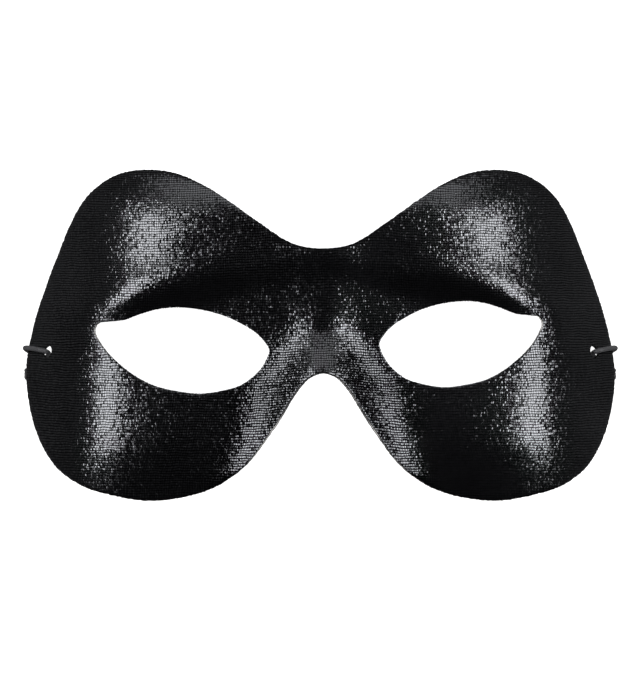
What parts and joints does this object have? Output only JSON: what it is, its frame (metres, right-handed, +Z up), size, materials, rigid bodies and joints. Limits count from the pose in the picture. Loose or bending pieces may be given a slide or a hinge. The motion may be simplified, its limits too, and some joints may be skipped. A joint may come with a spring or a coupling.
{
  "type": "costume eye mask",
  "caption": "Stiff moulded black cloth half mask over the brows, cheeks and nose, with eye openings and a thin elastic knotted at the temples that holds it on the face.",
  "frame": {"origin": "middle of the shell's footprint, on the surface that the mask lies on", "axes": "+X to the right of the mask seen from in front, +Y towards the forehead, +Z up, out of the front of the mask"},
  "size_m": [0.1798, 0.097, 0.0373],
  "materials": {
    "coated_cloth": "satin coated plain weave, black",
    "elastic": "matt braided cover, black"
  },
  "bodies": {
    "root": {"mask_shell": "coated_cloth", "left_tie_loop": "elastic", "right_tie_loop": "elastic", "left_knot": "elastic", "right_knot": "elastic", "elastic_cord": "elastic"}
  },
  "joints": []
}
